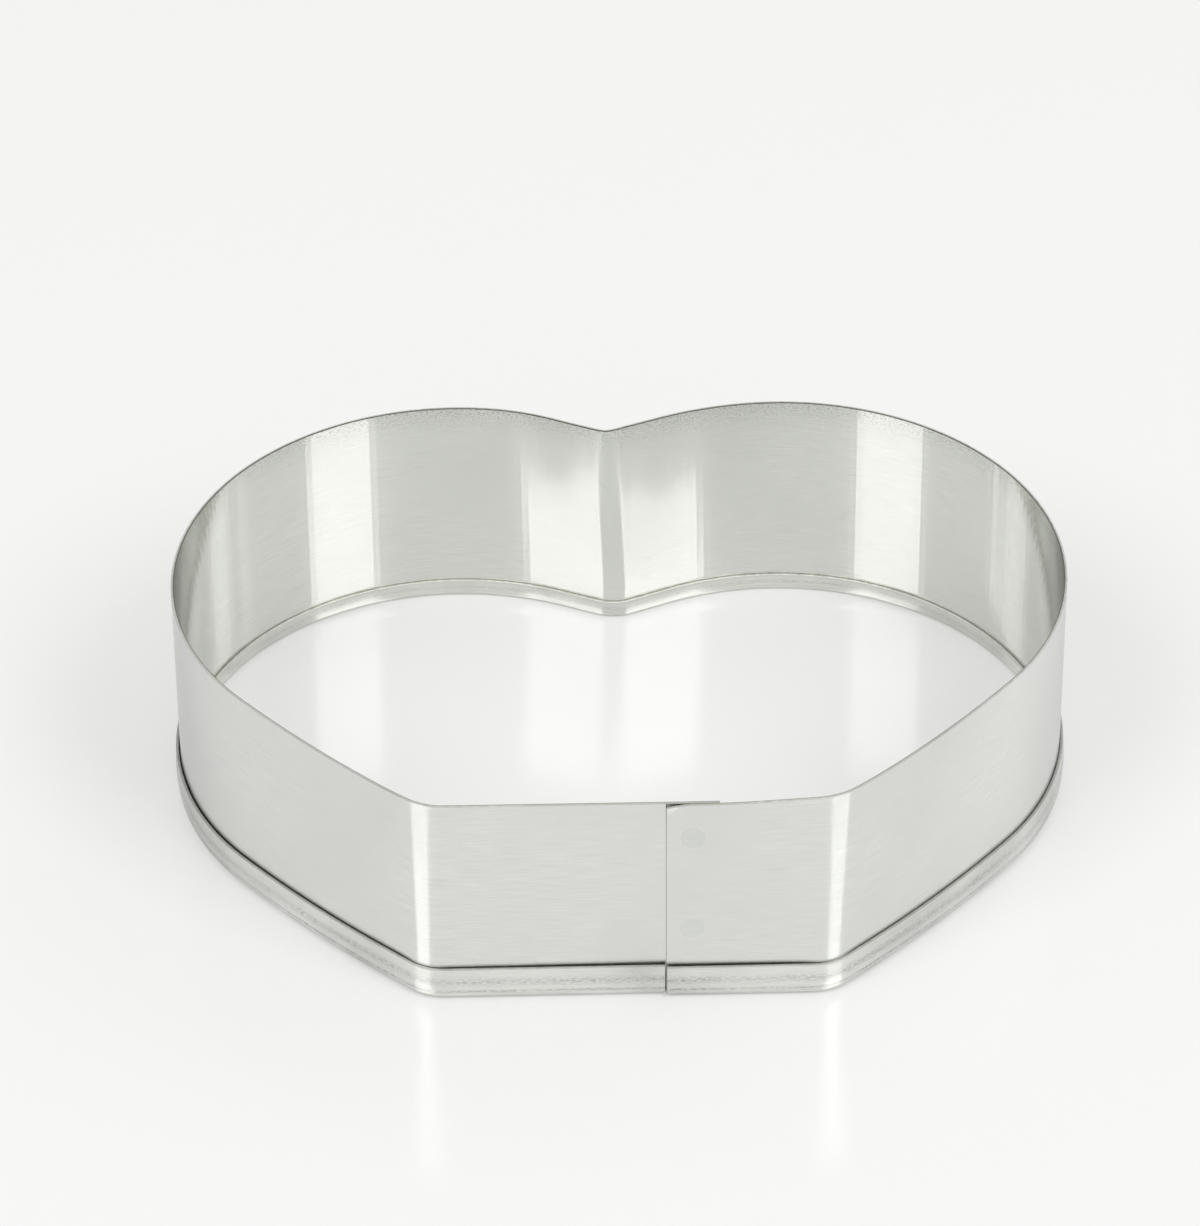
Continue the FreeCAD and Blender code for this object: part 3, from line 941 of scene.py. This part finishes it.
@dataclass
class RimEdging:
    """The J-section strip on the band's lower edge.

    Attributes:
        outline: Outline that it is bent to.
        finishes: Finishes of its faces, its cut edges and the burr on them.
        gauge: Thickness of its sheet.
        outer_leg: Height of the outer leg.
        inner_leg: Height of the inner leg.
        outer_nose: Outer radius of the fold below the outer leg.
        inner_nose: Outer radius of the fold below the inner leg.
        gap: Clearance between the band and the foot of the outer leg.
        fit: Clearance between the band and the inner leg.
        slit: Gap between its two ends, below the seam.
        end_round: Radius of the lower corners of its ends.
        shoulder: Height below which the outer leg is tucked in.
        tuck: How far it would be tucked in at the floor.
        tuck_depth: Distance from the band's middle past which all of the tuck is taken.
        front_lean: How far the outer leg's top leans in at the front and the cusp.
        side_lean: How far it leans in on a straight side.
        bend_loss: How much less that is on a bend with a radius of 1 mm.
        lean_blend: How far to each side the leans of two stretches are blended.
        middle_set: How much further it leans in at the middle of the cutter.
        right_slope: How much further than that per length to the right.
        divisions: Divisions of the outer leg, of the fold below it and of the fold below the inner leg.
    """

    outline: Outline
    finishes: tuple[SteelFinish, ...]
    gauge: float = 0.3 * MM
    outer_leg: float = 4.1 * MM
    inner_leg: float = 2.05 * MM
    outer_nose: float = 0.75 * MM
    inner_nose: float = 0.4 * MM
    gap: float = 0.3 * MM
    fit: float = 0.02 * MM
    slit: float = 0.07 * MM
    end_round: float = 0.5 * MM
    shoulder: float = 2.3 * MM
    tuck: float = 0.3 * MM
    tuck_depth: float = 0.45 * MM
    front_lean: float = 0.06 * MM
    side_lean: float = 0.2 * MM
    bend_loss: float = 0.25 * MM
    lean_blend: float = 2.5 * MM
    middle_set: float = 0.03 * MM
    right_slope: float = 0.04 / 46.0
    divisions: tuple[int, int, int] = (10, 10, 8)

    def build(self) -> Object:
        """Fold the J in the front and carry it round the outline.

        Returns:
            The finished edging.
        """
        outline = self.outline
        first_x, last_x = outline.seam_x - self.slit / 2, outline.seam_x + self.slit / 2
        half = (outline.gauge + self.gauge) / 2
        front = outline.inner_front - half - self.gap
        back = outline.inner_front + half + self.fit
        left = -outline.corner_x
        low, high = Vector((left, front, self.outer_nose)), Vector((first_x, front, self.outer_leg))
        sheet = Sheet("rim_edging_sheet", low, high, self.finishes)
        rows, outer_steps, inner_steps = self.divisions
        leg = self.outer_leg - self.outer_nose
        sheet.divide(*(self.outer_nose + leg * row / rows for row in range(1, rows)))
        sheet.select_edges(low, Vector((first_x, front, self.outer_nose)))
        along_x = Vector((1.0, 0.0, 0.0))
        outer_fold, inner_fold = self.outer_nose - self.gauge / 2, self.inner_nose - self.gauge / 2
        sheet.fold(Vector((0.0, front + outer_fold, self.outer_nose)), along_x, math.pi / 2, outer_steps)
        sheet.draw_out(Vector((0.0, back - front - outer_fold - inner_fold, 0.0)))
        sheet.fold(Vector((0.0, back - inner_fold, self.inner_nose)), along_x, math.pi / 2, inner_steps)
        sheet.draw_out(Vector((0.0, 0.0, self.inner_leg - self.inner_nose)))
        sheet.select_edges(Vector((left, front, 0.0)), Vector((left, back, self.outer_leg)))
        sheet.bend_round(outline)
        sheet.draw_out(Vector((last_x - outline.corner_x, 0.0, 0.0)))
        sheet.close(self.gauge)
        mesh, strip = sheet.piece.data, outline.strip(first_x, last_x)
        places = measure(mesh, strip)
        self.round_ends(mesh, first_x, last_x)
        self.draw_in(mesh, strip, places)
        outline.flatten_cusp(mesh)
        return sheet.finish()

    def round_ends(self, mesh: Mesh, first_x: float, last_x: float) -> None:
        """Round the lower corners of the two ends.

        Args:
            mesh: Mesh of the edging.
            first_x: Place of its inner end.
            last_x: Place of its outer end.
        """
        burr, slack = 0.1 * MM, 0.001 * MM
        for vertex in mesh.vertices:
            below = self.end_round - vertex.co.z
            if vertex.co.y > 0.0 or below <= 0.0:
                continue
            back = self.end_round - math.sqrt(max(self.end_round**2 - below**2, 0.0))
            for end, side in ((first_x, -1.0), (last_x, 1.0)):
                if -slack <= (vertex.co.x - end) * side < burr:
                    vertex.co.x += side * back

    def draw_in(self, mesh: Mesh, strip: Strip, places: list[Station]) -> None:
        """Lean the outer leg in where the strip is bent outwards, and tuck its lower half in.

        Args:
            mesh: Mesh of the edging.
            strip: Strip that it was bent to.
            places: Place of each vertex on the strip.
        """
        closing = [self.closing(stretch) for stretch in strip.stretches]
        for vertex, place in zip(mesh.vertices, places):
            offset = (vertex.co.to_2d() - place.nearest).dot(place.outward)
            rise = (vertex.co.z - self.outer_nose) / (self.outer_leg - self.outer_nose)
            if offset > 0.0:
                closer = self.middle_set + self.right_slope * vertex.co.x
                lean = (strip.blended(closing, place.along, self.lean_blend) + closer) * max(rise, 0.0)
                below = max(1.0 - vertex.co.z / self.shoulder, 0.0) ** 1.5
                tuck = self.tuck * below * min(offset / self.tuck_depth, 1.0)
                vertex.co -= (place.outward * (lean + tuck)).to_3d()

    def closing(self, stretch: Run | Bend) -> float:
        """How far the top of the outer leg leans in on a stretch.

        Args:
            stretch: A stretch of the outline.

        Returns:
            The lean, which is slight in the straight front and in the hollow bend of the cusp.
        """
        if isinstance(stretch, Run) or stretch.turn > 0.0:
            return self.front_lean
        return self.side_lean - self.bend_loss * MM / stretch.radius


@dataclass
class SpotWeld:
    """A spot weld nugget, which the electrodes have pressed a little hollow on both faces.

    Attributes:
        node: CAD node that it stands for.
        finish: Finish of its faces.
        clearance: Clearance to its hole.
        hollow: Depth of the hollows.
        steps: Share of that depth at each step inwards.
        step_width: Width of a step over the radius.
    """

    node: str
    finish: SteelFinish
    clearance: float = 0.004 * MM
    hollow: float = 0.02 * MM
    steps: tuple[float, ...] = (0.15, 0.5, 0.35)
    step_width: float = 0.22

    @property
    def middle(self) -> Vector:
        """Middle of the nugget."""
        low, high = (Vector(corner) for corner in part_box(self.node))
        return (low + high) / 2

    @property
    def size(self) -> Vector:
        """Width, depth and height of the nugget."""
        low, high = (Vector(corner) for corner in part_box(self.node))
        return high - low

    def disc(self, radius: float, depth: float) -> Object:
        """Add a disc at the nugget's place.

        Args:
            radius: Radius of the disc.
            depth: Its depth through the lap.

        Returns:
            The disc.
        """
        bpy.ops.object.select_all(action="DESELECT")
        turn = (math.pi / 2, 0.0, 0.0)
        bpy.ops.mesh.primitive_cylinder_add(
            vertices=64, radius=radius, depth=depth, location=self.middle, rotation=turn
        )
        bpy.ops.object.transform_apply()
        return bpy.context.object

    def plug(self) -> Object:
        """A plug in the shape of the weld's hole, long enough to go through both layers."""
        return self.disc(self.size.x / 2 + self.clearance, 2 * self.size.y)

    def build(self, strip: Strip) -> Object:
        """Press the hollows into the faces of a disc.

        Args:
            strip: The band's strip, whose grain runs on over the weld.

        Returns:
            The nugget.
        """
        disc = self.disc(self.size.x / 2, self.size.y)
        disc.name = disc.data.name = self.node + "_nugget"
        bpy.ops.object.mode_set(mode="EDIT")
        bpy.ops.mesh.select_mode(type="FACE")
        for side in (-1.0, 1.0):
            bpy.ops.mesh.select_all(action="DESELECT")
            shape = bmesh.from_edit_mesh(disc.data)
            for face in shape.faces:
                face.select_set(face.normal.y * side > 0.9)
            bmesh.update_edit_mesh(disc.data)
            for share in self.steps:
                bpy.ops.mesh.inset(thickness=self.step_width * self.size.x / 2)
                bpy.ops.transform.translate(value=(0.0, -side * share * self.hollow, 0.0))
        bpy.ops.object.mode_set(mode="OBJECT")
        bpy.ops.object.shade_smooth_by_angle(angle=SMOOTH_ANGLE)
        measure(disc.data, strip)
        disc.data.materials.append(self.finish.material())
        return disc


@dataclass(frozen=True)
class Softbox:
    """A large soft lamp.

    Attributes:
        name: Name of the lamp.
        azimuth: Direction it stands in, in degrees from the front towards +X.
        elevation: Height it stands at, in degrees above the floor.
        radiance: Brightness of its face, where 1 is white.
        width: Width of its face.
        height: Height of its face.
        distance: Distance from the cutter.
    """

    name: str
    azimuth: float
    elevation: float
    radiance: float
    width: float
    height: float = 0.74
    distance: float = 1.6

    def build(self) -> None:
        """Hang the lamp, turned to the cutter."""
        azimuth, elevation = math.radians(self.azimuth), math.radians(self.elevation)
        level = math.cos(elevation)
        towards = Vector((level * math.sin(azimuth), -level * math.cos(azimuth), math.sin(elevation)))
        bpy.ops.object.light_add(type="AREA", location=towards * self.distance)
        lamp = bpy.context.object
        lamp.name = self.name
        lamp.rotation_euler = towards.to_track_quat("Z", "Y").to_euler()
        lamp.data.shape = "RECTANGLE"
        lamp.data.size, lamp.data.size_y = self.width, self.height
        lamp.data.energy = self.radiance * math.pi * self.width * self.height


@dataclass(frozen=True)
class Studio:
    """Floor, light and camera.

    Attributes:
        floor_colour: Colour of the floor, linear.
        floor_glow: How much of the pale background shows through the floor's shadows.
        glow_colour: Colour of that background, linear.
        floor_roughness: Roughness of its gloss in reflections and as the camera sees it.
        floor_gloss: Level of that gloss in reflections and as the camera sees it.
        floor_size: Length of its sides.
        floor_drop: How far it lies below the edging.
        ambient: Light from all around, linear.
        camera_place: Place of the camera.
        camera_turn: Its turn about X, Y and Z, in degrees.
        lens: Focal length for a picture height of 36 mm.
        lamps: The softboxes.
    """

    floor_colour: Colour = (0.822, 0.822, 0.814)
    floor_glow: float = 0.3
    glow_colour: Colour = (0.955, 0.955, 0.945)
    floor_roughness: tuple[float, float] = (0.1, 0.18)
    floor_gloss: tuple[float, float] = (2.2, 0.6)
    floor_size: float = 6.0
    floor_drop: float = 0.02 * MM
    ambient: Colour = (0.69, 0.69, 0.69)
    camera_place: Vector = field(default_factory=lambda: Vector((-11.17, -520.25, 437.71)) * MM)
    camera_turn: tuple[float, float, float] = (51.444, 0.358, -1.288)
    lens: float = 190.9
    lamps: tuple[Softbox, ...] = (
        Softbox("right_softbox", 48.2, 48.5, 4.8, 0.66),
        Softbox("left_softbox", -47.8, 48.5, 4.5, 0.67),
        Softbox("rear_fill", 125.0, 42.0, 0.7, 1.3),
    )

    def build(self) -> None:
        """Set the stage."""
        self.lay_floor()
        self.light()
        self.place_camera()

    def lay_floor(self) -> None:
        """Lay the floor just below the edging."""
        bpy.ops.object.select_all(action="DESELECT")
        bpy.ops.mesh.primitive_plane_add(size=self.floor_size, location=(0.0, 0.0, -self.floor_drop))
        floor = bpy.context.object
        floor.name = "floor"
        bpy.ops.object.transform_apply()
        material = bpy.data.materials.new("glossy_floor")
        material.use_nodes = True
        graph = Graph(material.node_tree)
        nodes = material.node_tree.nodes
        path = graph.add("LightPath", {})
        seen = path.outputs["Is Camera Ray"]
        shown = graph.math("MAXIMUM", seen, path.outputs["Is Glossy Ray"])
        shown = graph.math("MAXIMUM", shown, path.outputs["Is Transmission Ray"])
        gloss = nodes["Principled BSDF"]
        sockets = {
            "Base Color": (*self.floor_colour, 1.0),
            "Roughness": graph.ranged(seen, 0.0, 1.0, *self.floor_roughness),
            "Specular IOR Level": graph.ranged(seen, 0.0, 1.0, *self.floor_gloss),
        }
        graph.feed(gloss, sockets)
        glow = graph.add("Emission", {"Color": (*self.glow_colour, 1.0)})
        share = graph.math("MULTIPLY", shown, self.floor_glow)
        sockets = {0: share, 1: gloss.outputs["BSDF"], 2: glow.outputs["Emission"]}
        mixed = graph.add("MixShader", sockets)
        graph.feed(nodes["Material Output"], {"Surface": mixed.outputs["Shader"]})
        floor.data.materials.append(material)

    def light(self) -> None:
        """Hang the softboxes and set the light from all around."""
        for lamp in self.lamps:
            lamp.build()
        world = bpy.data.worlds.new("studio")
        world.use_nodes = True
        world.node_tree.nodes["Background"].inputs["Color"].default_value = (*self.ambient, 1.0)
        bpy.context.scene.world = world
        bpy.context.scene.view_settings.view_transform = "Standard"

    def place_camera(self) -> None:
        """Put the camera where the photograph was taken from."""
        bpy.ops.object.camera_add(location=self.camera_place)
        camera = bpy.context.object
        camera.rotation_euler = Euler([math.radians(turn) for turn in self.camera_turn])
        camera.data.lens = self.lens
        camera.data.sensor_width = 36.0
        camera.data.clip_end = 20.0
        bpy.context.scene.camera = camera


def mount(piece: Object, node: str) -> None:
    """Let a piece stand for its CAD node.

    Args:
        piece: The finished piece.
        node: CAD node that it replaces.
    """
    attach(piece, "root")
    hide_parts(node)
    LOG.info("%s: %d faces", piece.name, len(piece.data.polygons))


def main() -> None:
    """Build the cutter, then the studio."""
    logging.basicConfig(level=logging.INFO, format="%(name)s: %(message)s")
    outline = Outline()
    lowest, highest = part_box("cutting_band")
    # The sheet's inner side keeps the default painted shade: slightly darker and warmer than the outer side
    sheet_steel = StripFinish(
        "bright_steel_sheet", (0.766, 0.775, 0.75), 0.078, outer_roughness=2.35, relief=0.008, haze=0.28
    )
    # Strong marks on the edging: roll marks together with painted shade at its creases and towards the
    # floor
    roll_steel = EdgingFinish("rolled_steel_edging", (0.80, 0.80, 0.77), 0.16, wear_and_shade=0.65)
    weld_steel = SteelFinish("pressed_weld", (0.74, 0.752, 0.724), 0.17)
    # Painted shade on the inner halves of the cut edges and of the burr, and painted light on the inner
    # edges of the edging
    edge_steel = DullEdge("sheared_edge", (0.72, 0.72, 0.68), 0.7, inner_painted_shading=(0.66, 0.66, 0.63))
    burr_steel = DullEdge("dull_burr", (0.62, 0.62, 0.58), 0.7, inner_painted_shading=(0.3, 0.3, 0.28))
    rolled_edge = DullEdge("rolled_edge", (0.5, 0.5, 0.47), 0.6, inner_painted_shading=(1.56, 1.56, 1.56))
    welds = tuple(SpotWeld(node, weld_steel) for node in ("upper_spot_weld", "lower_spot_weld"))
    band = CuttingBand(outline, lowest[2], highest[2], welds, (sheet_steel, edge_steel, burr_steel))
    mount(band.build(), "cutting_band")
    rim = RimEdging(outline, (roll_steel, rolled_edge, rolled_edge))
    mount(rim.build(), "rim_edging")
    strip = outline.strip(outline.seam_x + band.lap_length, outline.seam_x)
    for weld in welds:
        mount(weld.build(strip), weld.node)
    Studio().build()


if __name__ == "__main__":
    main()
